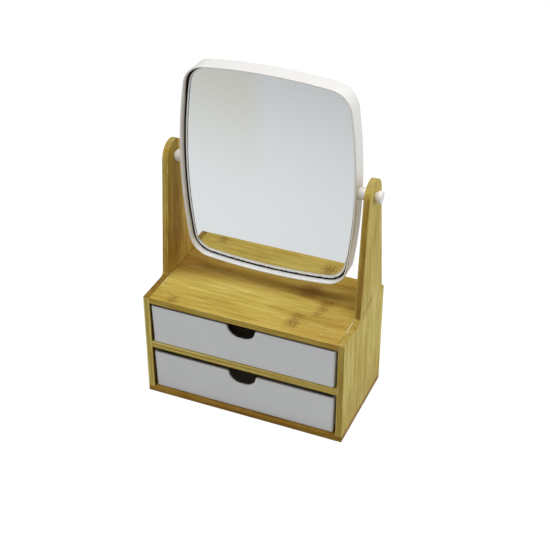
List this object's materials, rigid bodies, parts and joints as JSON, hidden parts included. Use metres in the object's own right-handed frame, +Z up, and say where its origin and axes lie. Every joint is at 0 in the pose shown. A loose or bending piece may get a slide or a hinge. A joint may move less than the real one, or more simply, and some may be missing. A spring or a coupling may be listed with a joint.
{
  "type": "makeup mirror with drawers",
  "caption": "Table-top makeup mirror: a framed mirror swivels between tapered uprights above a laminated bamboo case with pull-out moulded drawers.",
  "frame": {"origin": "centre of the base board's underside, on the table and midway between the side panels' outer faces", "axes": "+Z up, +Y towards the rear, +X to the right as a person in front of the mirror sees it, so the drawers open along -Y"},
  "size_m": [0.221, 0.111, 0.3446],
  "materials": {
    "bamboo_panel": "clear satin lacquer over upright grain",
    "bamboo_shelf": "clear satin lacquer over level grain",
    "dowel_wood": "plain, glued",
    "screw_steel": "zinc plated",
    "drawer_plastic": "fine satin, moulded white",
    "frame_plastic": "glossy, moulded white",
    "mirror_glass": "silvered glass",
    "foam_tape": "grey foam"
  },
  "bodies": {
    "case": {"left_side_panel": "bamboo_panel", "right_side_panel": "bamboo_panel", "base_board": "bamboo_panel", "middle_shelf": "bamboo_shelf", "top_shelf": "bamboo_shelf", "back_panel": "bamboo_panel", "top_shelf_dowels": "dowel_wood", "middle_shelf_dowels": "dowel_wood", "base_screws": "screw_steel"},
    "upper_drawer": {"upper_drawer": "drawer_plastic"},
    "lower_drawer": {"lower_drawer": "drawer_plastic"},
    "mirror": {"mirror_frame": "frame_plastic", "mirror_glass": "mirror_glass", "glass_tape": "foam_tape", "rear_cover": "frame_plastic", "left_pivot_pin": "frame_plastic", "right_pivot_pin": "frame_plastic"}
  },
  "joints": [
    {"name": "upper_drawer_slide", "type": "slide", "parent": "case", "child": "upper_drawer", "axis": [0, -1, 0], "range_m": [0, 0.085]},
    {"name": "lower_drawer_slide", "type": "slide", "parent": "case", "child": "lower_drawer", "axis": [0, -1, 0], "range_m": [0, 0.085]},
    {"name": "mirror_tilt", "type": "hinge", "parent": "case", "child": "mirror", "pos_m": [0, 0.0147, 0.2389], "axis": [1, 0, 0], "continuous": true}
  ]
}
